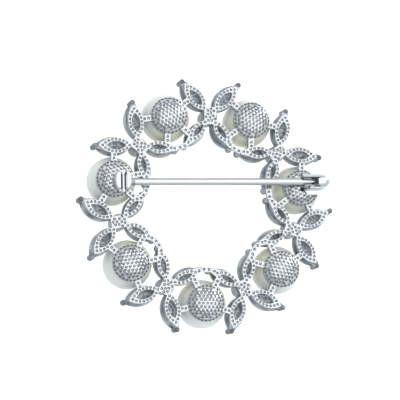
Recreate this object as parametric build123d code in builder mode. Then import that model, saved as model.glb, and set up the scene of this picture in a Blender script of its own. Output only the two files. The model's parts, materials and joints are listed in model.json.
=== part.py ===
from build123d import *
from collections import namedtuple
from math import atan2, cos, degrees, radians, sin, sqrt
import os

# Wreath brooch, lying face down on its seven pearls with its back up.
# All sizes are millimetres. X runs right, Y runs to the top of the wreath, Z points out of the back,
# and the origin is the middle of the wreath on the surface that the pearls rest on.

# The wreath: seven sprays of leaves with a pearl between each two.
sprays = 7
pearl_r = 4.0
pearl_space = 5.8  # between two neighbouring pearls
spray_inset = 1.15  # the sprays' ring is this much smaller than the pearls' ring
gap = 0.08  # between a stone or pearl and the metal that holds it
step = 360 / sprays
pearl_ring_r = (pearl_r + pearl_space / 2) / sin(radians(step / 2))
spray_ring_r = pearl_ring_r - spray_inset

# The pegs that the pearls are glued on.
peg_r = 0.45
peg_len = 3.4
peg_reach = peg_len + gap

# Levels of the metalwork, each measured from the one before it.
back_drop = 0.5  # the settings' flat back lies this far below the backs of the pearls
back_ring_t = 0.65
gallery_h = 1.15
rail_h = 0.95
pearl_z = pearl_r
back_z = pearl_z + pearl_r - back_drop
gallery_top = back_z - back_ring_t
rail_top = gallery_top - gallery_h
rail_front = rail_top - rail_h

# Domed cups on the backs of the pearls.
cup_r = 2.92
cup_dome = 0.72  # thickness of the dome over the pearl
inner_r = pearl_r + gap
dome_r = inner_r + cup_dome
rim_z = sqrt(inner_r**2 - cup_r**2)
shoulder_z = sqrt(dome_r**2 - cup_r**2)

# Leaf settings. turn is the angle from the outward spoke. start and root run from the spray's middle to
# the near ends of the metal and of the stone, and neck_drop is how far the neck of the claw lies below the
# flat back.
Leaf = namedtuple("Leaf", "name turn start root stone_l stone_w ball_r neck_drop")
leaves = [
    Leaf("outer", 41.0, 1.15, 1.85, 5.0, 2.5, 0.5, 0.3),
    Leaf("inner", 142.7, 1.0, 1.89, 4.0, 2.0, 0.6, 0.0),
]
ring_lip = 0.0  # the ring on the back is this much wider than the stone, on each side
ring_end = 0.5  # the ring's point stops this far short of the claw
band_w = 0.58  # the ring's band beside its opening
end_share = 0.223  # the band at each of its ends, as a share of the ring
opening_back = 0.15  # the opening is this much nearer to the hub than the ring's middle
gallery_end = 0.4
gallery_recess = 0.03  # the pierced band is set in from the ring above it
rail_lip = 0.33  # the front rail beside the stone
wall_shift = 0.08  # the gallery, the rail and the stone stand this far off the ring, away from the pearl
cavity_share = 0.8  # the hollow behind a stone, as a share of the stone
opening_bevel = 0.06
window_share = 0.46  # length of the gallery's windows, as a share of the stone
window_h = 0.8
claw_r = 0.45
claw_drop = 0.06  # the claw's round back end lies this far below the flat back
neck_half_w = 0.36  # half the neck's width where it meets the claw
claw_rise = 0.5  # middle of a pearl to the middle of a claw's ball
claw_grip = 0.35  # the stone's point goes this far under the ball
neck_start = 0.9  # the neck to the claw starts this far before the ring's point
bead_r = 0.4  # the small claw at a leaf's root
claw_z = pearl_z + claw_rise

# Cut stones: shares of the stone's width, but for the girdle.
girdle_t = 0.1
crown_share = 0.17
pavilion_share = 0.42
table_share = 0.58
break_share = 0.84  # outline of the crown where its two rows of facets meet
break_height = 0.6  # height of that line, as a share of the crown
girdle_z = rail_front - gap

# Hub of a spray, with a round stone on its front.
hub_w = 2.0
hub_len = 2.8
hub_cup_r = 1.35
hub_drop = 0.5  # middle of a pearl down to the hub's front
hub_front = pearl_z - hub_drop
hub_stone_r = 1.1
hub_wall_h = 0.35  # the rim that is turned over the round stone
hub_girdle_z = hub_front + hub_wall_h - gap

# Struts from a cup to the leaves beside it, and bridges between the inner leaves' points.
strut_w = 0.95
strut_t = 1.0
strut_bite = 0.45  # how far a strut runs into the ring that it meets
bridge_w = 0.8

# The pin lies across the back, leaning a little, from the cup on the left to the cup on the right.
side_cup_x = pearl_ring_r * sin(radians(1.5 * step))
side_cup_y = pearl_ring_r * cos(radians(1.5 * step))
pin_lean = 2.9
pin_over = 1.4  # top of a dome to the pin's axis
hinge_in = 1.04  # the hinge axis, from the middle of the left cup
hinge_side = -0.71
pin_r = 0.575
pin_past = 1.75  # the point, past the middle of the right cup
flare_len = 0.4  # the stem's thick root tapers to the stem this far past the shoulder
flare_r = 0.68
point_len = 2.4
point_r = 0.3
lean = radians(pin_lean)
pin_rise = dome_r + pin_over
pin_z = pearl_z + pin_rise
hinge_x = hinge_in - side_cup_x
hinge_y = hinge_side + side_cup_y
catch_along = (side_cup_x - hinge_x) / cos(lean)  # hinge axis to the middle of the right cup
pin_len = catch_along + pin_past

# Hinge. Along the pin is x, across it y, with the hinge axis along y.
rivet_r = 0.2
rivet_head_r = 0.34
rivet_head_t = 0.14
press_gap = 0.01
turn_gap = 0.04  # between the rivet and the barrel that turns on it
barrel_r = 0.36
ear_gap = 0.08  # between the barrel's ends and the ears
ear_in = 1.16
ear_t = 0.34
ear_r = 0.46
wall_near = 0.4  # the back wall starts this far behind the axis
wall_bulge = 1.15  # and bulges away from it by this much
wall_top = 0.3
ear_bite = 0.2  # an ear's root runs this far into the back wall
foot_deep = 0.8  # top of the bracket's foot below the axis
lobe_side = 0.28  # the wall and the shoulder stand this far off the pin's line
lobe_half = 1.5
lobe_end = 0.35
lobe_edge = 0.42  # rounding of a lobe's top edges, but for its flat side
shoulder_near = 0.56
shoulder_bulge = 0.97
shoulder_up = 0.66
shoulder_down = 0.6
web_t = 0.4
hug = 0.3  # the foot stops this far above the pearl, inside the dome's metal

# Catch. Along values are from the middle of the right cup.
house_r = 1.3
house_start = -0.55
house_nose = 2.6  # where the rounded end begins
nose_len = 1.65
bore_r = 0.64
bore_end = 2.0
roller_r = 0.95
roller_start = -0.18
roller_len = 1.76
run_gap = 0.06  # round the roller, and at its ends
mouth_w = 1.2
window_end = 0.62
window_floor = 0.8  # below the pin's axis
slot_w = 0.2  # slots in the housing's back, over the roller's far end and past it
slot_along = (1.25, 2.35)
slot_across = (0.55, -0.8)
tab_along = 0.15
tab_w = 0.4
tab_t = 0.3
tab_ball_r = 0.36
tab_ball_at = 1.3  # from the roller's axis
tab_ball_along = -0.35
tab_rest = 108.0  # angle from straight up, before the roller is turned to lock
foot_start = 0.5
foot_len = 2.6
foot_w = 3.0
foot_side = -0.52  # middle of the foot, across the pin
foot_top = 0.95  # below the pin's axis
foot_round = 0.35


class Marquise(BaseSketchObject):
    """A pointed oval of two arcs, long side along x."""

    def __init__(self, length, width, rotation=0, align=None, mode=Mode.ADD):
        a, b = length / 2, width / 2
        with BuildSketch(Plane.XY) as outline:
            with BuildLine():
                ThreePointArc((-a, 0), (0, b), (a, 0))
                ThreePointArc((a, 0), (0, -b), (-a, 0))
            make_face()
        super().__init__(obj=outline.sketch, rotation=rotation, align=align, mode=mode)


def marquise_corners(length, width, per_side=7):
    """Corners of a cut marquise's girdle, on the two arcs of its outline."""
    a, b = length / 2, width / 2
    arc_r = (a * a + b * b) / (2 * b)
    half = degrees(atan2(a, arc_r - b))
    turns = [radians(half * (2 * i / per_side - 1)) for i in range(per_side)]
    side = [(arc_r * sin(t), arc_r * cos(t) - (arc_r - b)) for t in turns]
    return side + [(-x, -y) for x, y in side]


def round_corners(radius, sides=12):
    turns = [radians(360 * i / sides) for i in range(sides)]
    return [(radius * cos(t), radius * sin(t)) for t in turns]


def cut_stone(corners, width, grow=0.0):
    """A cut stone with its girdle's back edge at height 0, its table below and its point above.

    corners are the girdle's, anticlockwise, and grow makes the tool that cuts the stone's seat.
    """

    def ring(share, height):
        plane = Plane.XY.offset(height)
        return [plane.from_local_coords((x * share, y * share, 0)) for x, y in corners]

    crown = width * crown_share + grow
    deep = width * pavilion_share + grow
    levels = [
        ring(table_share, -girdle_t - grow - crown),
        ring(break_share, -girdle_t - grow - crown * break_height),
        ring(1, -girdle_t - grow),
        ring(1, 0),
    ]
    count = len(corners)
    faces = [Face(Wire.make_polygon(list(reversed(levels[0]))))]
    for low, high in zip(levels, levels[1:]):
        for i in range(count):
            j = (i + 1) % count
            faces.append(Face(Wire.make_polygon([low[i], low[j], high[j], high[i]])))
    point = Vector(0, 0, deep)
    for i in range(count):
        j = (i + 1) % count
        faces.append(Face(Wire.make_polygon([levels[-1][i], levels[-1][j], point])))
    return Solid(Shell(faces))


def half_width(length, width, at):
    """Half the width of a marquise at a distance from its middle."""
    a, b = length / 2, width / 2
    arc_r = (a * a + b * b) / (2 * b)
    return sqrt(arc_r**2 - at**2) - (arc_r - b)


def leaf_plane(leaf, side, height, along=0.0, across=0.0):
    """The plane of one leaf of the top spray, x running from the hub out to the claw.

    across moves it away from the pearl beside the leaf.
    """
    turn = radians(leaf.turn)
    x_dir = Vector(side * sin(turn), cos(turn), 0)
    open_side = side if leaf.turn < 90 else -side
    y_dir = Vector(-x_dir.Y, x_dir.X, 0) * open_side
    origin = Vector(0, spray_ring_r, height) + x_dir * along + y_dir * across
    return Plane(origin=origin, x_dir=x_dir, z_dir=(0, 0, 1))


def reach(leaf):
    """From the spray's middle to the leaf's claw."""
    return leaf.root + leaf.stone_l + claw_grip


def ring_size(leaf):
    return reach(leaf) - ring_end - leaf.start, leaf.stone_w + 2 * ring_lip


def stone_plane(leaf, side, height):
    """The plane over the middle of a leaf's stone."""
    return leaf_plane(leaf, side, height, leaf.root + leaf.stone_l / 2, wall_shift)


top_leaves = [(leaf, side) for leaf in leaves for side in (-1, 1)]

# One spray: the metal of its four leaf settings and its hub.
with BuildPart() as spray:
    for leaf, side in top_leaves:
        tip = reach(leaf)
        ring_l, ring_w = ring_size(leaf)
        neck = leaf.start + ring_l - neck_start
        neck_half = half_width(ring_l, ring_w, ring_l / 2 - neck_start)
        with BuildSketch(leaf_plane(leaf, side, gallery_top)):
            with Locations((leaf.start + ring_l / 2, 0)):
                Marquise(ring_l, ring_w)
        extrude(amount=back_ring_t)
        with BuildSketch(leaf_plane(leaf, side, gallery_top)):
            with BuildLine():
                Polyline(
                    (neck, neck_half),
                    (tip, neck_half_w),
                    (tip, -neck_half_w),
                    (neck, -neck_half),
                    close=True,
                )
            make_face()
        extrude(amount=back_ring_t - leaf.neck_drop)
        gallery_l = tip - gallery_end - leaf.start
        gallery_mid = leaf.start + gallery_l / 2
        with BuildSketch(leaf_plane(leaf, side, rail_top, gallery_mid, wall_shift)):
            Marquise(gallery_l, ring_w - 2 * gallery_recess)
        extrude(amount=gallery_h)
        rail_l = tip - leaf.start
        with BuildSketch(leaf_plane(leaf, side, rail_front, leaf.start + rail_l / 2, wall_shift)):
            Marquise(rail_l, leaf.stone_w + 2 * rail_lip)
        extrude(amount=rail_h)
        claw_top = back_z - claw_drop - claw_r
        with BuildSketch(leaf_plane(leaf, side, claw_z, tip)):
            Circle(claw_r)
        extrude(amount=claw_top - claw_z)
        with Locations(leaf_plane(leaf, side, claw_top, tip).location):
            Sphere(claw_r)
        with Locations(leaf_plane(leaf, side, claw_z, tip).location):
            Sphere(leaf.ball_r)
        with Locations(leaf_plane(leaf, side, girdle_z, leaf.root, wall_shift).location):
            Sphere(bead_r)
    with BuildSketch(Plane.XY.offset(gallery_top)):
        with Locations((0, spray_ring_r)):
            Rectangle(hub_w, hub_len)
    extrude(amount=back_ring_t)
    with BuildSketch(Plane.XY.offset(hub_front)):
        with Locations((0, spray_ring_r)):
            Circle(hub_cup_r)
    extrude(amount=gallery_top - hub_front)

    # The hollows behind the stones, the openings in the backs and the windows in the galleries.
    for leaf, side in top_leaves:
        ring_l, ring_w = ring_size(leaf)
        opening_mid = leaf.start + ring_l / 2 - opening_back
        open_l = ring_l * (1 - 2 * end_share)
        open_w = ring_w - 2 * band_w
        with BuildSketch(stone_plane(leaf, side, rail_front)):
            Marquise(leaf.stone_l * cavity_share, leaf.stone_w * cavity_share)
        extrude(amount=gallery_top - rail_front, mode=Mode.SUBTRACT)
        with BuildSketch(leaf_plane(leaf, side, gallery_top, opening_mid)):
            Marquise(open_l, open_w)
        extrude(amount=back_ring_t, mode=Mode.SUBTRACT)
        with BuildSketch(leaf_plane(leaf, side, back_z - opening_bevel, opening_mid)):
            Marquise(open_l, open_w)
        with BuildSketch(leaf_plane(leaf, side, back_z, opening_mid)):
            Marquise(open_l + 2 * opening_bevel, open_w + 2 * opening_bevel)
        loft(mode=Mode.SUBTRACT)
        with Locations(stone_plane(leaf, side, rail_top + gallery_h / 2).location):
            Box(leaf.stone_l * window_share, 2 * ring_w, window_h, mode=Mode.SUBTRACT)
        seat = cut_stone(
            marquise_corners(leaf.stone_l + 2 * gap, leaf.stone_w + 2 * gap), leaf.stone_w, gap
        )
        with Locations(stone_plane(leaf, side, girdle_z + gap).location):
            add(seat, mode=Mode.SUBTRACT)
    with BuildSketch(Plane.XY.offset(hub_front)):
        with Locations((0, spray_ring_r)):
            Circle(hub_stone_r + gap)
    extrude(amount=hub_wall_h, mode=Mode.SUBTRACT)
    seat = cut_stone(round_corners(hub_stone_r + gap), 2 * hub_stone_r, gap)
    with Locations((0, spray_ring_r, hub_girdle_z + gap)):
        add(seat, mode=Mode.SUBTRACT)

# One cup with its peg, on the pearl that stands at the top of the wreath between two sprays, with the
# four struts that hold it to the leaves beside it.
cup_plane = Plane(origin=(0, pearl_ring_r, pearl_z), x_dir=(1, 0, 0), z_dir=(0, -1, 0))


def strut(leaf, side):
    """The plane and length of the strut from the top cup square to a leaf of the spray on one side."""
    half = step / 2
    hub = Vector(sin(radians(side * half)), cos(radians(half))) * spray_ring_r
    heading = radians(side * (half - leaf.turn))
    along = Vector(sin(heading), cos(heading))
    cup_middle = Vector(0, pearl_ring_r)
    distance = (cup_middle - hub).dot(along)
    span = hub + along * distance - cup_middle
    ring_l, ring_w = ring_size(leaf)
    ring_half = half_width(ring_l, ring_w, distance - leaf.start - ring_l / 2)
    plane = Plane(origin=(0, pearl_ring_r, back_z - strut_t), x_dir=span, z_dir=(0, 0, 1))
    return plane, span.length - ring_half + strut_bite


with BuildPart() as cup:
    for leaf, side in top_leaves:
        plane, length = strut(leaf, side)
        with BuildSketch(plane):
            with Locations((length / 2, 0)):
                Rectangle(length, strut_w)
        extrude(amount=strut_t)
    with Locations((0, pearl_ring_r, pearl_z)):
        Sphere(inner_r, mode=Mode.SUBTRACT)
    with BuildSketch(cup_plane):
        with BuildLine():
            Line((0, inner_r), (0, dome_r))
            RadiusArc((0, dome_r), (cup_r, shoulder_z), dome_r)
            Line((cup_r, shoulder_z), (cup_r, rim_z))
            RadiusArc((cup_r, rim_z), (0, inner_r), -inner_r)
        make_face()
    revolve(axis=Axis((0, pearl_ring_r, 0), (0, 0, 1)))
    with BuildSketch(Plane((0, pearl_ring_r, pearl_z + inner_r - peg_len))):
        Circle(peg_r)
    extrude(amount=peg_len + cup_dome / 2)

# The bridge between the inner claws of two neighbouring sprays.
inner = leaves[1]
near_claw = leaf_plane(inner, 1, gallery_top, reach(inner)).origin
far_claw = leaf_plane(inner, -1, gallery_top, reach(inner)).origin.rotate(Axis.Z, -step)
with BuildPart() as bridge:
    span = far_claw - near_claw
    with BuildSketch(Plane(origin=near_claw, x_dir=span, z_dir=(0, 0, 1))):
        with Locations((span.length / 2, 0)):
            Rectangle(span.length, bridge_w)
    extrude(amount=back_ring_t)

# The pin's own frame: x along the pin, y along the hinge axis, z out of the brooch's back.
pin_plane = Plane(
    origin=(hinge_x, hinge_y, pin_z), x_dir=(cos(lean), sin(lean), 0), z_dir=(0, 0, 1)
)


def side_plane(across):
    """Square to the hinge axis, its x along the pin and its y up. It extrudes down the page."""
    origin = pin_plane.from_local_coords((0, across, 0))
    return Plane(origin=origin, x_dir=pin_plane.x_dir, z_dir=-pin_plane.y_dir)


def catch_end(along):
    """Square to the pin, its x across the pin and its y up."""
    origin = pin_plane.from_local_coords((catch_along + along, 0, 0))
    return Plane(origin=origin, x_dir=pin_plane.y_dir, z_dir=pin_plane.x_dir)


def lobe(way, near, bulge):
    """Plan of a lobe of the hinge: a flat side, two short ends and an arc that bulges away."""
    end = way * (near + lobe_end)
    with BuildSketch(Plane.XY) as plan:
        with BuildLine():
            Line((end, -lobe_half), (way * near, -lobe_half))
            Line((way * near, -lobe_half), (way * near, lobe_half))
            Line((way * near, lobe_half), (end, lobe_half))
            ThreePointArc((end, lobe_half), (way * (near + bulge), 0), (end, -lobe_half))
        make_face()
    return plan.sketch.moved(Location((0, lobe_side, 0)))


def side_cup(side):
    """The middle of the pearl under the hinge, side -1, or under the catch, side 1."""
    return Vector(side * side_cup_x, side_cup_y, pearl_z)


# Hinge bracket: a foot on the left cup, a rounded back wall and two ears with the rivet's holes.
ear_out = ear_in + ear_t
ear_back = wall_near + ear_bite
foot_bottom = pin_rise - shoulder_z + hug
with BuildPart() as bracket:
    with BuildSketch(pin_plane.offset(-foot_bottom)):
        with Locations(((ear_r - ear_back) / 2, 0)):
            Rectangle(ear_r + ear_back, 2 * ear_out)
    extrude(amount=foot_bottom - foot_deep)
    with BuildSketch(pin_plane.offset(-foot_bottom)):
        add(lobe(-1, wall_near, wall_bulge))
    extrude(amount=foot_bottom + wall_top)
    fillet(bracket.edges().group_by(Axis.Z)[-1].sort_by(Axis.X)[:-1], lobe_edge)
    for outer_face in (ear_out, -ear_in):
        with BuildSketch(side_plane(outer_face)):
            Circle(ear_r)
            with Locations(((ear_r - ear_back) / 2, -foot_deep / 2)):
                Rectangle(ear_r + ear_back, foot_deep)
            Circle(rivet_r + press_gap, mode=Mode.SUBTRACT)
        extrude(amount=ear_t)
    with Locations(side_cup(-1)):
        Sphere(inner_r + hug, mode=Mode.SUBTRACT)

# Catch housing: a tube with a rounded end on a foot, open along its top for the pin, with a wider
# pocket inside for the roller and a window in its side for the roller's tab.
with BuildPart() as housing:
    with BuildSketch(pin_plane):
        with BuildLine():
            nose = catch_along + house_nose
            Line((catch_along + house_start, 0), (catch_along + house_start, house_r))
            Line((catch_along + house_start, house_r), (nose, house_r))
            EllipticalCenterArc((nose, 0), nose_len, house_r, arc_size=90)
            Line((nose + nose_len, 0), (catch_along + house_start, 0))
        make_face()
    revolve(axis=Axis(pin_plane.origin, pin_plane.x_dir))
    with BuildSketch(pin_plane.offset(-foot_bottom)):
        with Locations((catch_along + foot_start + foot_len / 2, foot_side)):
            RectangleRounded(foot_len, foot_w, foot_round)
    extrude(amount=foot_bottom - foot_top)
    with BuildSketch(catch_end(house_start)):
        Circle(bore_r)
        with Locations((0, house_r)):
            Rectangle(2 * bore_r, 2 * house_r)
    extrude(amount=bore_end - house_start, mode=Mode.SUBTRACT)
    with BuildSketch(catch_end(roller_start - run_gap)):
        Circle(roller_r + run_gap)
    extrude(amount=roller_len + 2 * run_gap, mode=Mode.SUBTRACT)
    with BuildSketch(catch_end(house_start)):
        with Locations((-house_r, house_r - window_floor / 2)):
            Rectangle(2 * house_r, 2 * house_r + window_floor)
    extrude(amount=window_end - house_start, mode=Mode.SUBTRACT)
    slot_start, slot_end = slot_along
    for across in slot_across:
        with BuildSketch(pin_plane.offset(house_r)):
            with Locations((catch_along + (slot_start + slot_end) / 2, across)):
                SlotOverall(slot_end - slot_start, slot_w)
        extrude(amount=-house_r, mode=Mode.SUBTRACT)
    with Locations(side_cup(1)):
        Sphere(inner_r + hug, mode=Mode.SUBTRACT)

with BuildPart() as frame:
    with PolarLocations(0, sprays):
        add(spray.part)
    with PolarLocations(0, sprays, start_angle=step / 2):
        add(cup.part)
    with PolarLocations(0, sprays):
        add(bridge.part)
    add(bracket.part)
    add(housing.part)

# The pin: a barrel on the rivet, a web, a rounded shoulder and the tapered stem.
barrel_half = ear_in - ear_gap
stem_start = shoulder_near + shoulder_bulge / 2
with BuildPart() as pin_stem:
    with BuildSketch(pin_plane.offset(-shoulder_down)):
        add(lobe(1, shoulder_near, shoulder_bulge))
    extrude(amount=shoulder_down + shoulder_up)
    fillet(pin_stem.edges().group_by(Axis.Z)[-1].sort_by(Axis.X)[1:], lobe_edge)
    with BuildSketch(side_plane(barrel_half)):
        Circle(barrel_r)
    extrude(amount=2 * barrel_half)
    with BuildSketch(pin_plane.offset(-barrel_r)):
        with Locations(((shoulder_near + web_t) / 2, 0)):
            Rectangle(shoulder_near + web_t, 2 * barrel_half)
    extrude(amount=web_t)
    with BuildSketch(pin_plane):
        with BuildLine():
            Polyline(
                (stem_start, 0),
                (stem_start, flare_r),
                (stem_start + shoulder_bulge / 2 + flare_len, pin_r),
                (pin_len - point_len, pin_r),
                (pin_len - point_r, point_r),
            )
            RadiusArc((pin_len - point_r, point_r), (pin_len, 0), point_r)
            Line((pin_len, 0), (stem_start, 0))
        make_face()
    revolve(axis=Axis(pin_plane.origin, pin_plane.x_dir))
    with BuildSketch(side_plane(barrel_half)):
        Circle(rivet_r + turn_gap)
    extrude(amount=2 * barrel_half, mode=Mode.SUBTRACT)

with BuildPart() as rivet:
    with BuildSketch(side_plane(ear_out + rivet_head_t)):
        Circle(rivet_head_r)
    extrude(amount=rivet_head_t)
    with BuildSketch(side_plane(ear_out)):
        Circle(rivet_r)
    extrude(amount=2 * ear_out)
    with BuildSketch(side_plane(-ear_out)):
        Circle(rivet_head_r)
    extrude(amount=rivet_head_t)

# The catch's roller, a C that lets the pin in at rest, with a slanting tab that ends in a small ball.
tab_way = pin_plane.z_dir * cos(radians(tab_rest)) - pin_plane.y_dir * sin(radians(tab_rest))
with BuildPart() as catch_lever:
    with BuildSketch(catch_end(roller_start)):
        Circle(roller_r)
        Circle(bore_r, mode=Mode.SUBTRACT)
        with Locations((0, roller_r)):
            Rectangle(mouth_w, 2 * roller_r, mode=Mode.SUBTRACT)
    extrude(amount=roller_len)
    tab_root = (bore_r + roller_r) / 2
    tab_plane = Plane(
        origin=pin_plane.from_local_coords((catch_along, 0, 0)),
        x_dir=pin_plane.x_dir,
        z_dir=pin_plane.x_dir.cross(tab_way),
    )
    with BuildSketch(tab_plane.offset(-tab_t / 2)):
        with BuildLine():
            Polyline(
                (tab_along - tab_w / 2, tab_root),
                (tab_along + tab_w / 2, tab_root),
                (tab_ball_along + tab_w / 2, tab_ball_at),
                (tab_ball_along - tab_w / 2, tab_ball_at),
                close=True,
            )
        make_face()
    extrude(amount=tab_t)
    with Locations(tab_plane.from_local_coords((tab_ball_along, tab_ball_at, 0))):
        Sphere(tab_ball_r)

# Pearls and stones, each made once at the top of the wreath.
with BuildPart() as pearl:
    with Locations((0, pearl_ring_r, pearl_z)):
        Sphere(pearl_r)
    with BuildSketch(Plane((0, pearl_ring_r, pearl_z + inner_r - peg_reach))):
        Circle(peg_r + gap)
    extrude(amount=peg_reach, mode=Mode.SUBTRACT)

pieces = {"frame": frame.part, "hinge_rivet": rivet.part, "pin_stem": pin_stem.part}
pieces["catch_lever"] = catch_lever.part
for k in range(sprays):
    pearl_turn = Location((0, 0, 0), (0, 0, -step * (k + 0.5)))
    spray_turn = Location((0, 0, 0), (0, 0, -step * k))
    pieces[f"pearl_{k + 1}"] = pearl.part.moved(pearl_turn)
    for leaf, side in top_leaves:
        hand = "left" if side < 0 else "right"
        stone = cut_stone(marquise_corners(leaf.stone_l, leaf.stone_w), leaf.stone_w)
        seat = stone_plane(leaf, side, girdle_z).location
        pieces[f"{leaf.name}_stone_{k + 1}_{hand}"] = stone.moved(spray_turn * seat)
    stone = cut_stone(round_corners(hub_stone_r), 2 * hub_stone_r)
    seat = Location((0, spray_ring_r, hub_girdle_z))
    pieces[f"hub_stone_{k + 1}"] = stone.moved(spray_turn * seat)

os.makedirs("parts", exist_ok=True)
for name, piece in pieces.items():
    piece.label = name
    export_step(piece, f"parts/{name}.step")
print(len(pieces), "pieces,", "frame solids:", len(frame.part.solids()))
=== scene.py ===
import json
import random
from collections import namedtuple
from math import asin, cos, hypot, pi, radians, sin, sqrt

import bmesh
import bpy
from mathutils import Matrix, Vector
from mathutils.bvhtree import BVHTree
from mathutils.kdtree import KDTree


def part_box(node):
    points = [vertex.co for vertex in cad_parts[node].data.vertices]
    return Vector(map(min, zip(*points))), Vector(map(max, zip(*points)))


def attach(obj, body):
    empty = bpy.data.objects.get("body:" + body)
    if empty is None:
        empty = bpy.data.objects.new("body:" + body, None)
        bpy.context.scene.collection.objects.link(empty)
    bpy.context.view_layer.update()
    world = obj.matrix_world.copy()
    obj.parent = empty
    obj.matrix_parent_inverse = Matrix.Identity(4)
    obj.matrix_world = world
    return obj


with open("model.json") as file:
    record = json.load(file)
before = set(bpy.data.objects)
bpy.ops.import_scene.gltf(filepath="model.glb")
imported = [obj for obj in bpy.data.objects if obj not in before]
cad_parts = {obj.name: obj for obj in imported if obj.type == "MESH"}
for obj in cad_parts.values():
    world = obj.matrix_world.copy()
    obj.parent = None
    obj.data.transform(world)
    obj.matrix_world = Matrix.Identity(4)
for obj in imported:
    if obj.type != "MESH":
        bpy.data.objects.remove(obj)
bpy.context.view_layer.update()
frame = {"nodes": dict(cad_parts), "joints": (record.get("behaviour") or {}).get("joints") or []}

mm = 0.001
scene = bpy.context.scene
scene.view_settings.view_transform = "Standard"


# The camera looks down at the back of the brooch from a quarter of a metre, a little from the left
# and from below, and the brooch is turned a little on the table. The pearls' middles are the level
# that the distance is measured from.
tip_x, tip_y, turn_z = radians(-5.80), radians(12.07), radians(-2.66)
camera_far = 258.8 * mm
pearl_level = 4.0 * mm
px_per_mm = 6.075  # at the pearls' level
image_px = 400
middle_px = (203.5, 207.6)  # where the middle of the wreath is seen
sensor = 36.0

to_view = Matrix.Rotation(tip_y, 3, "Y") @ Matrix.Rotation(tip_x, 3, "X") @ Matrix.Rotation(turn_z, 3, "Z")
view_turn = to_view.transposed()
lens = bpy.data.cameras.new("camera")
lens.sensor_width = sensor
lens.lens = px_per_mm * camera_far / mm / image_px * sensor
lens.shift_x = (image_px / 2 - middle_px[0]) / image_px
lens.shift_y = (middle_px[1] - image_px / 2) / image_px
lens.clip_start = 10 * mm
camera = bpy.data.objects.new("camera", lens)
camera_place = view_turn @ Vector((0, 0, camera_far)) + Vector((0, 0, pearl_level))
camera.matrix_world = Matrix.Translation(camera_place) @ view_turn.to_4x4()
scene.collection.objects.link(camera)
scene.camera = camera


# The table is a smooth white board under a wide soft box, with a smaller one on the right, in a light
# tent of cool white cloth that has a darker opening low on the left, behind the viewer. The board is
# pure white in the picture, and a shade greyer where the brooch mirrors it.
table_half = 0.9
table_white = (0.92, 0.92, 0.92)
table_glow = 0.62
table_dim = (0.24, 0.25, 0.26, 1)  # its glow in what the brooch mirrors, as a share
table_gloss = 0.18
table_patch = 60 * mm  # size of the patches of slightly rougher board
table_uneven = 0.04
tent_light = (0.66, 0.685, 0.70, 1)
tent_dark = (0.46, 0.48, 0.50, 1)
tent_opening = (-0.66, -0.62, 0.42)  # the way to it from the brooch
opening_edge = (0.55, 0.90)  # cosines of the angles from its middle to its outer and inner edge


class Shade:
    """A value in a material. Sums on it add Math nodes, and node() adds any other node."""

    def __init__(self, tree, socket=None):
        self.tree = tree
        self.socket = socket

    def node(self, kind, settings, values, output=0):
        """A new node. Its settings are made first, then the values or links of its sockets."""
        made = self.tree.nodes.new("ShaderNode" + kind)
        for name, setting in settings.items():
            if name == "stops":
                for stop, (position, grey) in zip(made.color_ramp.elements, setting):
                    stop.position = position
                    stop.color = (grey, grey, grey, 1)
            else:
                setattr(made, name, setting)
        for name, value in values.items():
            if isinstance(value, Shade):
                self.tree.links.new(value.socket, made.inputs[name])
            else:
                made.inputs[name].default_value = value
        return Shade(self.tree, made.outputs[output] if made.outputs else None)

    def maths(self, operation, *terms):
        return self.node("Math", {"operation": operation}, dict(enumerate(terms)))

    def __add__(self, other):
        return self.maths("ADD", self, other)

    def __radd__(self, other):
        return self.maths("ADD", other, self)

    def __sub__(self, other):
        return self.maths("SUBTRACT", self, other)

    def __rsub__(self, other):
        return self.maths("SUBTRACT", other, self)

    def __mul__(self, other):
        return self.maths("MULTIPLY", self, other)

    def __rmul__(self, other):
        return self.maths("MULTIPLY", other, self)

    def blend(self, low, high):
        """The colour low where this value is 0, and high where it is 1."""
        return self.node("Mix", {"data_type": "RGBA"}, {0: self, 6: low, 7: high}, 2)

    def ramp(self, start, end):
        """0 where this value is start, 1 where it is end, and a smooth change between them."""
        reach = {"Value": self, "From Min": start, "From Max": end}
        return self.node("MapRange", {"interpolation_type": "SMOOTHSTEP"}, reach)

    def size(self):
        """This value without its sign."""
        return self.node("Math", {"operation": "ABSOLUTE"}, {0: self})

    def height(self):
        """The height of this place."""
        return self.node("SeparateXYZ", {}, {0: self}, 2)

    def away_from(self, point):
        """The way to this place from a point."""
        return self.node("VectorMath", {"operation": "SUBTRACT"}, {0: self, 1: point})

    def along(self, way):
        """How far this place or way goes along a direction."""
        return self.node("VectorMath", {"operation": "DOT_PRODUCT"}, {0: self, 1: way}, "Value")

    def length(self):
        """How long this way is."""
        return self.node("VectorMath", {"operation": "LENGTH"}, {0: self}, "Value")

    def noise(self, size, detail):
        """Cloudy values round a half at this place. detail is how many finer layers lie on the spots."""
        return self.node("TexNoise", {}, {"Vector": self, "Scale": 1 / size, "Detail": detail}, 0)


def new_look(name):
    """A material with no nodes, and the start of its nodes."""
    material = bpy.data.materials.new(name)
    material.use_nodes = True
    material.node_tree.nodes.clear()
    return material, Shade(material.node_tree)


def table_look():
    material, look = new_look("white_board")
    place = look.node("TexCoord", {}, {}, "Object")
    seen = look.node("LightPath", {}, {}, "Is Camera Ray")
    board = look.node(
        "BsdfPrincipled",
        {},
        {
            "Base Color": (*table_white, 1),
            "Roughness": place.noise(table_patch, 2) * table_uneven + table_gloss,
            "Emission Color": seen.blend(table_dim, (1, 1, 1, 1)),
            "Emission Strength": table_glow,
        },
    )
    look.node("OutputMaterial", {}, {"Surface": board})
    return material


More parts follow.
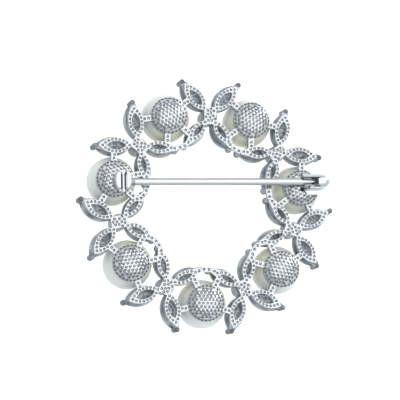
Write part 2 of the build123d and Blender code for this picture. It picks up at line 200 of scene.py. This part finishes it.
def soft_box(name, place, aim, size, bright):
    """A flat light of a brightness that doesn't change with its size."""
    light = bpy.data.lights.new(name, "AREA")
    light.shape = "RECTANGLE"
    light.size, light.size_y = size
    light.energy = bright * pi * size[0] * size[1]
    lamp = bpy.data.objects.new(name, light)
    turn = (Vector(place) - Vector(aim)).to_track_quat("Z", "Y").to_matrix().to_4x4()
    lamp.matrix_world = Matrix.Translation(place) @ turn
    scene.collection.objects.link(lamp)


bm = bmesh.new()
bmesh.ops.create_grid(bm, x_segments=1, y_segments=1, size=table_half)
table_mesh = bpy.data.meshes.new("table")
bm.to_mesh(table_mesh)
bm.free()
table_mesh.materials.append(table_look())
table = bpy.data.objects.new("table", table_mesh)
scene.collection.objects.link(table)

Box = namedtuple("Box", "name place aim size bright")
boxes = [
    Box("over", (0.20, 0.20, 0.50), (0.20, 0.20, 0), (1.0, 1.0), 0.70),
    Box("right", (0.75, 0.55, 0.30), (0, 0, 0), (0.5, 0.9), 1.3),
]
for box in boxes:
    soft_box(*box)
tent = bpy.data.worlds.new("tent")
tent.use_nodes = True
scene.world = tent
tent.node_tree.nodes.clear()
look = Shade(tent.node_tree)
way = look.node("TexCoord", {}, {}, "Generated")
inside = way.along(tent_opening).ramp(*opening_edge)
cloth = look.node("Background", {}, {"Color": inside.blend(tent_light, tent_dark)})
look.node("OutputWorld", {}, {"Surface": cloth})


# The frame is one casting of base metal, pierced, polished and plated bright. The back of the metal
# is bright and clean. Shade is painted into the colour below it: grey in the galleries between the
# back and the stones, black in the slots beside the hinge's barrel and in the catch, and grey on the
# bracket's edges and on the claws at the leaves' points. The painted places are also rougher and less
# metallic.
ShadeFilm = namedtuple("ShadeFilm", "where dark light")
plate_bright = (0.80, 0.82, 0.84, 1)
plate_rough = 0.10
cloud_size = 2.5 * mm  # clouds of a slightly duller plate
cloud_spread, cloud_low = 0.5, 0.25
cloud_dim = 0.93
cloud_rough = 0.08
film_rough = 0.24
film_dull = 0.5
# The galleries below the back are painted grey as shade, from this height down.
gallery_shade_from, gallery_shade_to = 7.49 * mm, 7.40 * mm
streak_size = 0.5 * mm
streak_long = (0.25, 0.25, 2)  # the streaks lie flat, along the galleries
streak_share = (0.30, 0.70)
hinge_middle = 0.08 * mm  # the barrel's middle, along the pin from the hinge's axis
slot_inner, slot_outer = 0.16 * mm, 0.44 * mm  # the places painted black as shadow, from there
slot_edge = 0.08 * mm
slot_reach = 1.5 * mm  # across the pin
slot_top = 0.42 * mm
lobe_from, lobe_to = 0.85 * mm, 1.55 * mm  # the edges painted grey as shade, from the barrel's middle
hinge_reach = 2.0 * mm
back_top = 7.7 * mm
claws_from, claws_to = 20.3 * mm, 20.6 * mm  # from the wreath's middle
tube_in, tube_edge = 1.24 * mm, 0.06 * mm  # inside the catch's tube
tube_start, tube_end = -1.35 * mm, 1.85 * mm  # along the pin, from the roller's middle
pin_hinge, catch_lock = frame["joints"]
hinge_at = Vector(pin_hinge["pos_m"])
catch_at = Vector(catch_lock["pos_m"])
pin_way = Vector((catch_at - hinge_at).xy.normalized().to_3d())
pin_side = Vector((-pin_way.y, pin_way.x, 0))
ripple_size = 0.7 * mm
ripple_deep = 0.006 * mm


def below_back(place):
    return place.height().ramp(gallery_shade_from, gallery_shade_to)


def hinge_slots(place):
    """1 in the slots beside the hinge's barrel, where shadow is painted black."""
    off = place.away_from(hinge_at)
    away = (off.along(pin_way) - hinge_middle).size()
    between = away.ramp(slot_inner, slot_inner + slot_edge) * away.ramp(slot_outer, slot_outer - slot_edge)
    low = off.height().ramp(slot_top, slot_top - slot_edge)
    return between * low * off.along(pin_side).size().ramp(slot_reach, slot_reach - slot_edge)


def hinge_edges(place):
    """1 at the outer edges of the hinge's wall and of the pin's shoulder, where shade is painted grey."""
    off = place.away_from(hinge_at)
    out = (off.along(pin_way) - hinge_middle).size().ramp(lobe_from, lobe_to)
    near = off.length().ramp(hinge_reach, hinge_reach - slot_edge)
    return out * near * place.height().ramp(back_top, back_top + slot_edge)


def catch_inside(place):
    """1 inside the catch's tube and its slots, where shade is painted dark."""
    off = place.away_from(catch_at)
    along = off.along(pin_way)
    within = along.ramp(tube_start, tube_start + tube_edge) * along.ramp(tube_end, tube_end - tube_edge)
    swing = off.node("VectorMath", {"operation": "CROSS_PRODUCT"}, {0: off, 1: pin_way})
    return within * swing.length().ramp(tube_in, tube_in - tube_edge)


def outer_claws(place):
    """1 on the claws round the outside of the wreath, where shade is painted grey."""
    flat = place.node("VectorMath", {"operation": "MULTIPLY"}, {0: place, 1: (1, 1, 0)})
    return flat.length().ramp(claws_from, claws_to) * place.height().ramp(back_top, back_top - slot_edge)


# Films of painted shade, each with its mask and its dark and light colours.
gallery_shade = ShadeFilm(below_back, (0.22, 0.25, 0.29, 1), (0.60, 0.64, 0.68, 1))
slot_shade = ShadeFilm(hinge_slots, (0.03, 0.03, 0.04, 1), (0.08, 0.08, 0.09, 1))
edge_shade = ShadeFilm(hinge_edges, (0.22, 0.24, 0.27, 1), (0.45, 0.48, 0.52, 1))
claw_shade = ShadeFilm(outer_claws, (0.10, 0.115, 0.135, 1), (0.36, 0.39, 0.43, 1))
tube_shade = ShadeFilm(catch_inside, (0.14, 0.145, 0.155, 1), (0.80, 0.82, 0.84, 1))


def plate_look(name, bright, painted_shades=(), grain=None):
    """Bright plate. It may have films of painted shade where their functions say, and a grain."""
    material, look = new_look(name)
    place = look.node("TexCoord", {}, {}, "Object")
    cloud = place.noise(cloud_size, 3)
    duller = (*(cloud_dim * part for part in bright[:3]), 1)
    colour = (cloud * cloud_spread + cloud_low).blend(bright, duller)
    rough = cloud * cloud_rough + plate_rough
    metallic = 1
    # Each film paints shade over the plate's colour there, and makes the plate rougher and less metallic.
    for film in painted_shades:
        lying = film.where(place)
        streaks = place.node("Mapping", {}, {"Vector": place, "Scale": streak_long}).noise(streak_size, 3)
        colour = lying.blend(colour, streaks.ramp(*streak_share).blend(film.dark, film.light))
        rough = rough + lying * film_rough
        metallic = metallic - lying * film_dull
    if grain:
        colour = place.noise(grain.size, 2).ramp(grain.low, grain.high).blend(grain.dark, colour)
    ripple = place.noise(ripple_size, 2)
    relief = look.node("Bump", {}, {"Strength": 1, "Distance": ripple_deep, "Height": ripple})
    metal = look.node(
        "BsdfPrincipled",
        {},
        {"Base Color": colour, "Metallic": metallic, "Roughness": rough, "Normal": relief},
    )
    look.node("OutputMaterial", {}, {"Surface": metal})
    return material


def dress(node_name, material):
    """Gives a CAD node its finish."""
    materials = frame["nodes"][node_name].data.materials
    materials.clear()
    materials.append(material)


frame_painted_shades = [gallery_shade, claw_shade, slot_shade, edge_shade, tube_shade]
dress("frame", plate_look("frame_plate", plate_bright, frame_painted_shades))


# The flat back of the frame is punched all over with small round pits, one row round each leaf's
# opening and more on the hubs, struts and bridges. It stands a little proud of the casting, with its
# own edge wall, and is made for one spray and set seven times round the wreath.
sprays = 7
step = 2 * pi / sprays
pearl_low, pearl_high = (Vector(corner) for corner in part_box("pearl_7"))
pearl_r = (pearl_high.x - pearl_low.x) / 2
pearl_ring_r = ((pearl_low + pearl_high) / 2).xy.length
hub_low, hub_high = (Vector(corner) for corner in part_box("hub_stone_1"))
spray_ring_r = (hub_low.y + hub_high.y) / 2
back_drop = 0.5 * mm  # the casting's flat back lies this far below the backs of the pearls
back_level = 2 * pearl_r - back_drop
proud = 0.16 * mm
# The groove round each pit's boss is painted near black as shade.
pit_shade_grey = (0.02, 0.023, 0.027, 1)
sheet_t = 0.20 * mm
ring_pit_r = 0.21 * mm
pit_r = 0.22 * mm
pit_sides = 12
pit_profile = [(1.0, 0.0), (0.94, 0.45), (0.68, 0.60), (0.40, 0.45), (0.0, 0.35)]  # across and down
groove_rings = 3  # the profile's part painted dark as shade
groove_over = 0.05  # share of the radius that the painted dark part may reach past its last ring's middle
pit_pitch = 0.58 * mm
pit_margin = 0.01 * mm
Ring = namedtuple("Ring", "turn start length width open_length open_width each_side")
rings = [
    Ring(radians(41.0), 1.15 * mm, 5.55 * mm, 2.50 * mm, 3.19 * mm, 1.46 * mm, 7),
    Ring(radians(142.7), 1.00 * mm, 4.74 * mm, 2.00 * mm, 2.75 * mm, 0.96 * mm, 5),
]
opening_back = 0.15 * mm  # the opening is this much nearer to the hub than the ring's middle
scan = 0.10 * mm
scan_step = 0.03 * mm
room_enough = 0.55 * mm
edge_parts = 8  # an edge is measured to at this many places and its end
weld = 0.002 * mm
touching = 0.001 * mm
upright = 0.999
level_slack = 0.01 * mm


def bmesh_to_mesh(bm, name):
    mesh = bpy.data.meshes.new(name)
    bm.to_mesh(mesh)
    bm.free()
    return mesh


def pit_mesh(radius):
    """A round pit with a boss in its middle. Its rim is at height 0, and it is open at the top."""
    bm = bmesh.new()
    profile = [bm.verts.new((radius * across, 0, -radius * down)) for across, down in pit_profile]
    for upper, lower in zip(profile, profile[1:]):
        bm.edges.new((upper, lower))
    bmesh.ops.spin(
        bm, geom=bm.verts[:] + bm.edges[:], cent=(0, 0, 0), axis=(0, 0, 1),
        angle=2 * pi, steps=pit_sides, use_merge=True,
    )
    bmesh.ops.remove_doubles(bm, verts=bm.verts, dist=touching)
    # The groove takes the second finish, painted dark as shade, and the boss keeps the first.
    outer, inner = pit_profile[groove_rings - 1][0], pit_profile[groove_rings][0]
    groove_in = radius * (inner + outer) / 2 - groove_over * radius
    for face in bm.faces:
        face.smooth = True
        face.material_index = face.calc_center_median().xy.length > groove_in
    return bmesh_to_mesh(bm, "pit")


def add_mesh(bm, mesh, place):
    """Adds a placed copy of a mesh to a bmesh."""
    copy = mesh.copy()
    copy.transform(place)
    bm.from_mesh(copy)
    bpy.data.meshes.remove(copy)


def close_sheet(bm, outline, smooth):
    """Fills between the outline and the pits' rims, then adds the edge wall and the underside."""
    rims = [edge for edge in bm.edges if edge.is_boundary]
    fill = bmesh.ops.triangle_fill(bm, use_beauty=True, edges=rims + outline, normal=(0, 0, 1))
    for face in fill["geom"]:
        if isinstance(face, bmesh.types.BMFace):
            face.smooth = smooth
    for edge in rims + outline:
        edge.smooth = False
    wall = bmesh.ops.extrude_edge_only(bm, edges=outline)["geom"]
    low = [vert for vert in wall if isinstance(vert, bmesh.types.BMVert)]
    bmesh.ops.translate(bm, verts=low, vec=(0, 0, -sheet_t))
    under = [edge for edge in wall if isinstance(edge, bmesh.types.BMEdge)]
    bmesh.ops.triangle_fill(bm, use_beauty=True, edges=under, normal=(0, 0, -1))
    bmesh.ops.recalc_face_normals(bm, faces=bm.faces)


def leaf_point(ring, side, along, across):
    """A point of the top spray's back, from a leaf's own distances."""
    x_dir = Vector((side * sin(ring.turn), cos(ring.turn), 0))
    y_dir = Vector((-x_dir.y, x_dir.x, 0))
    return Vector((0, spray_ring_r, back_level)) + x_dir * along + y_dir * across


def arc_place(length, width, share):
    """A place on one side of a leaf shape, from its middle: share is -1 at one point and 1 at the other."""
    bulge = width / 2
    arc_r = (length * length / 4 + bulge * bulge) / (2 * bulge)
    turn = asin(length / 2 / arc_r) * share
    return Vector((arc_r * sin(turn), arc_r * cos(turn) - (arc_r - bulge)))


def ring_pits(ring, side):
    """The places of the pits round one leaf, midway between its edge and its opening."""
    places = []
    middle = ring.start + ring.length / 2 - opening_back / 2
    for i in range(ring.each_side + 2):
        share = 2 * i / (ring.each_side + 1) - 1
        outer = arc_place(ring.length, ring.width, share)
        along, off = (outer + arc_place(ring.open_length, ring.open_width, share)) / 2
        ways = (1,) if abs(share) == 1 else (-1, 1)
        places += [leaf_point(ring, side, middle + along, way * off) for way in ways]
    return places


def flat_back():
    """The flat back of the top spray, as faces cut from a copy of the frame."""
    bm = bmesh.new()
    bm.from_mesh(frame["nodes"]["frame"].data)
    bmesh.ops.remove_doubles(bm, verts=bm.verts, dist=weld)
    low = [
        face for face in bm.faces
        if face.normal.z < upright or abs(face.calc_center_median().z - back_level) > level_slack
    ]
    bmesh.ops.delete(bm, geom=low, context="FACES")
    for side in (-1, 1):
        outward = Vector((side * cos(step / 2), -sin(step / 2), 0))
        bmesh.ops.bisect_plane(
            bm, geom=bm.verts[:] + bm.edges[:] + bm.faces[:], dist=touching,
            plane_co=(0, 0, 0), plane_no=outward, clear_outer=True,
        )
    return bm


def spray_skin():
    """The punched sheet on the back of the top spray."""
    bm = flat_back()
    tree = BVHTree.FromBMesh(bm)
    outline = [edge for edge in bm.edges if edge.is_boundary]
    edge_points = [
        a.co.lerp(b.co, t / edge_parts)
        for a, b in (edge.verts for edge in outline)
        for t in range(edge_parts + 1)
    ]
    edge_tree = KDTree(len(edge_points))
    for i, point in enumerate(edge_points):
        edge_tree.insert(point, i)
    edge_tree.balance()

    def clearance(place):
        """From a place on the back to the nearest edge, or 0 for a place off the metal."""
        above = place + Vector((0, 0, mm))
        return edge_tree.find(place)[2] if tree.ray_cast(above, (0, 0, -1))[0] is not None else 0

    rings_at = [place for ring in rings for side in (-1, 1) for place in ring_pits(ring, side)]
    rings_at = [place for place in rings_at if clearance(place) > ring_pit_r + pit_margin]
    low_x, high_x = min(v.co.x for v in bm.verts), max(v.co.x for v in bm.verts)
    low_y, high_y = min(v.co.y for v in bm.verts), max(v.co.y for v in bm.verts)
    roomy = []
    for j in range(int((high_y - low_y) / scan)):
        for i in range(int((high_x - low_x) / scan)):
            place = Vector((low_x + i * scan, low_y + j * scan, back_level))
            room = clearance(place)
            if room > pit_r + pit_margin:
                roomy.append((-round(min(room, room_enough) / scan_step), j, i, place))
    fill_at = []  # the other pits take the roomiest places first
    for *_, place in sorted(roomy, key=lambda entry: entry[:3]):
        if all((place - other).length > pit_pitch for other in rings_at + fill_at):
            fill_at.append(place)
    inside = [edge for edge in bm.edges if not edge.is_boundary]
    bmesh.ops.delete(bm, geom=bm.faces[:], context="FACES_ONLY")
    bmesh.ops.delete(bm, geom=inside, context="EDGES")
    bmesh.ops.translate(bm, verts=bm.verts, vec=(0, 0, proud))
    for radius, places in ((ring_pit_r, rings_at), (pit_r, fill_at)):
        pit = pit_mesh(radius)
        for place in places:
            add_mesh(bm, pit, Matrix.Translation(place + Vector((0, 0, proud))))
    outline = [edge for edge in bm.edges if edge.is_wire]
    close_sheet(bm, outline, False)
    return bmesh_to_mesh(bm, "spray_skin")


def round_wreath(mesh, name, start):
    """One mesh of seven copies of a mesh, turned round the wreath."""
    bm = bmesh.new()
    for k in range(sprays):
        add_mesh(bm, mesh, Matrix.Rotation(-(k + start) * step, 4, "Z"))
    return bmesh_to_mesh(bm, name)


def new_piece(name, mesh, materials, body):
    """A piece of the scene's own, with its finishes, that moves with a body of the brooch."""
    for material in materials:
        mesh.materials.append(material)
    piece = bpy.data.objects.new(name, mesh)
    scene.collection.objects.link(piece)
    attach(piece, body)


Grain = namedtuple("Grain", "size low high dark")
back_grain = Grain(0.17 * mm, 0.36, 0.56, (0.40, 0.42, 0.45, 1))
punched_plate = plate_look("punched_plate", plate_bright, grain=back_grain)
back_look = [punched_plate, plate_look("pit_shade", pit_shade_grey)]
new_piece("punched_back", round_wreath(spray_skin(), "punched_back", 0), back_look, "brooch")


# A domed cup lies on the back of each pearl, soldered to the struts. It is punched like the rest of
# the back, with one row round its edge and close rows inside it.
cup_r = 2.92 * mm
cup_lip = 0.04 * mm
dome_rise = 0.80 * mm  # from the pearl to the dome's back
dome_r = pearl_r + dome_rise
dome_skin_r = dome_r + proud
dome_pitch = 0.66 * mm
dome_pit_r = 0.215 * mm
dome_loose = 0.04 * mm
loose_seed = 5
edge_room = 0.50 * mm  # from the row round the edge to the rows inside it
# The grooves of the cup's pits are painted dark grey as shade.
cup_pit_shade_grey = (0.13, 0.14, 0.155, 1)
cup_grain = Grain(0.17 * mm, 0.36, 0.54, (0.62, 0.64, 0.67, 1))
cup_sides = 72


def cup_skin():
    """The punched sheet on the cup at the top of the wreath."""
    middle = Vector((0, pearl_ring_r, pearl_level))
    bm = bmesh.new()
    pit = pit_mesh(dome_pit_r)
    sunk = asin(dome_pit_r / dome_skin_r)
    edge_at = dome_skin_r * asin((cup_r + cup_lip) / dome_skin_r) - dome_pit_r - pit_margin
    edge_count = int(2 * pi * edge_at / dome_pitch)
    turns = [2 * pi * i / edge_count for i in range(edge_count)]
    places = [(edge_at * cos(turn), edge_at * sin(turn)) for turn in turns]
    loose = random.Random(loose_seed)
    rows = int(edge_at / dome_pitch) + 2
    for j in range(-rows, rows + 1):
        for i in range(-rows, rows + 1):
            x = (i + 0.5 * (j % 2)) * dome_pitch + loose.uniform(-dome_loose, dome_loose)
            y = j * dome_pitch * sqrt(3) / 2 + loose.uniform(-dome_loose, dome_loose)
            if hypot(x, y) < edge_at - edge_room:
                places.append((x, y))
    for x, y in places:
        tilt = hypot(x, y) / dome_skin_r
        lean = Matrix.Rotation(tilt, 4, Vector((-y, x, 0)))
        rise = Matrix.Translation((0, 0, dome_skin_r * cos(sunk)))
        add_mesh(bm, pit, Matrix.Translation(middle) @ lean @ rise)
    drop = sqrt(dome_skin_r**2 - (cup_r + cup_lip) ** 2)
    rim_place = Matrix.Translation(middle + Vector((0, 0, drop)))
    rim = bmesh.ops.create_circle(bm, segments=cup_sides, radius=cup_r + cup_lip, matrix=rim_place)
    outline = list({edge for vert in rim["verts"] for edge in vert.link_edges})
    close_sheet(bm, outline, True)
    return bmesh_to_mesh(bm, "cup_skin")


punched_cup = plate_look("punched_cup", plate_bright, grain=cup_grain)
cup_look = [punched_cup, plate_look("cup_pit_shade", cup_pit_shade_grey)]
new_piece("punched_cups", round_wreath(cup_skin(), "punched_cups", 0.5), cup_look, "brooch")


# The pearls are glass beads with a lustre that is cream towards the middle of the wreath and paler
# on their outer sides. They are glued on pegs under the cups. A faint glow of their own colour is
# painted on them to lift the shade under the cups and struts.
pearl_cream = (0.83, 0.82, 0.66, 1)
pearl_pale = (0.72, 0.735, 0.72, 1)
pearl_painted_glow = 0.16  # painted glow of their own colour, lifting the shade on them
pale_from, pale_to = 15.2 * mm, 18.6 * mm  # from the middle of the wreath
border_wave = 1.5 * mm  # size of the waves in the border of the cream part
border_stray = 1.4 * mm  # how far it strays
dull_size = 1.2 * mm  # size of the spots of duller lustre
pearl_rough, pearl_uneven = 0.2, 0.08
pearl_look, look = new_look("pearl_lustre")
place = look.node("TexCoord", {}, {}, "Object")
outward = place.length() + place.noise(border_wave, 3) * border_stray
nacre = outward.ramp(pale_from, pale_to).blend(pearl_cream, pearl_pale)
lustre = look.node(
    "BsdfPrincipled",
    {},
    {
        "Base Color": nacre,
        "Roughness": place.noise(dull_size, 3) * pearl_uneven + pearl_rough,
        "Coat Weight": 0.35,
        "Coat Roughness": 0.06,
        "Emission Color": nacre,
        "Emission Strength": pearl_painted_glow,
    },
)
look.node("OutputMaterial", {}, {"Surface": lustre})
for k in range(sprays):
    dress(f"pearl_{k + 1}", pearl_look)


# The stones are cut glass. Their pointed backs are coated with grey foil, which is what the openings
# in the leaves show, and their fronts are clear over the bright foil.
foil_grey = (0.30, 0.33, 0.38, 1)
foil_light = (0.92, 0.95, 0.98, 1)
stone_clear = (0.78, 0.82, 0.90, 1)
foil_painted_glow = 0.17  # painted glow on the foil, lifting the shade deep in the openings
girdle_level = 3.2 * mm
girdle_edge = 0.05 * mm
smear_size = 0.4 * mm
smear_long = (1, 1, 0.3)
smear_share = (0.35, 0.65)
glass_metal, foil_metal = 0.9, 0.25
glass_rough = 0.03
foil_rough, foil_uneven = 0.35, 0.2
stone_look, look = new_look("foiled_glass")
place = look.node("TexCoord", {}, {}, "Object")
back = place.height().ramp(girdle_level, girdle_level + girdle_edge)
smear = place.node("Mapping", {}, {"Vector": place, "Scale": smear_long}).noise(smear_size, 3)
foil = smear.ramp(*smear_share).blend(foil_grey, foil_light)
glass = look.node(
    "BsdfPrincipled",
    {},
    {
        "Base Color": back.blend(stone_clear, foil),
        "Metallic": back * (foil_metal - glass_metal) + glass_metal,
        "Roughness": back * (smear * foil_uneven + foil_rough) + glass_rough,
        "Coat Weight": 0.5,
        "Coat Roughness": 0.03,
        "Emission Color": back.blend((0, 0, 0, 1), foil),
        "Emission Strength": foil_painted_glow,
    },
)
look.node("OutputMaterial", {}, {"Surface": glass})
for name in frame["nodes"]:
    if "stone" in name:
        dress(name, stone_look)


# The pin is a drawn wire with a tapered point and a cast shoulder, plated like the frame, and its
# barrel turns on a rivet between the two ears of the hinge. Its plate is painted a little darker than
# the frame's as shade along its underside, and it takes the hinge's painted shade in the slots and at
# the edges.
pin_bright = (0.74, 0.755, 0.77, 1)
pin_plate = plate_look("pin_plate", pin_bright, [slot_shade, edge_shade])
dress("pin_stem", pin_plate)
dress("hinge_rivet", pin_plate)


# The catch's lever is a turned C, plated like the frame, that rolls in the catch's tube. Its tab and
# the small ball at the tab's end are painted black as shade.
lever_bright = (0.62, 0.64, 0.66, 1)
tab_from, tab_to = 0.97 * mm, 1.02 * mm  # from the roller's axis


def lever_tab(place):
    """1 on the tab and the ball, outside the roller."""
    off = place.away_from(catch_at)
    swing = off.node("VectorMath", {"operation": "CROSS_PRODUCT"}, {0: off, 1: pin_way})
    return swing.length().ramp(tab_from, tab_to)


tab_shade = ShadeFilm(lever_tab, (0.003, 0.003, 0.004, 1), (0.02, 0.02, 0.02, 1))
dress("catch_lever", plate_look("lever_plate", lever_bright, [tab_shade]))
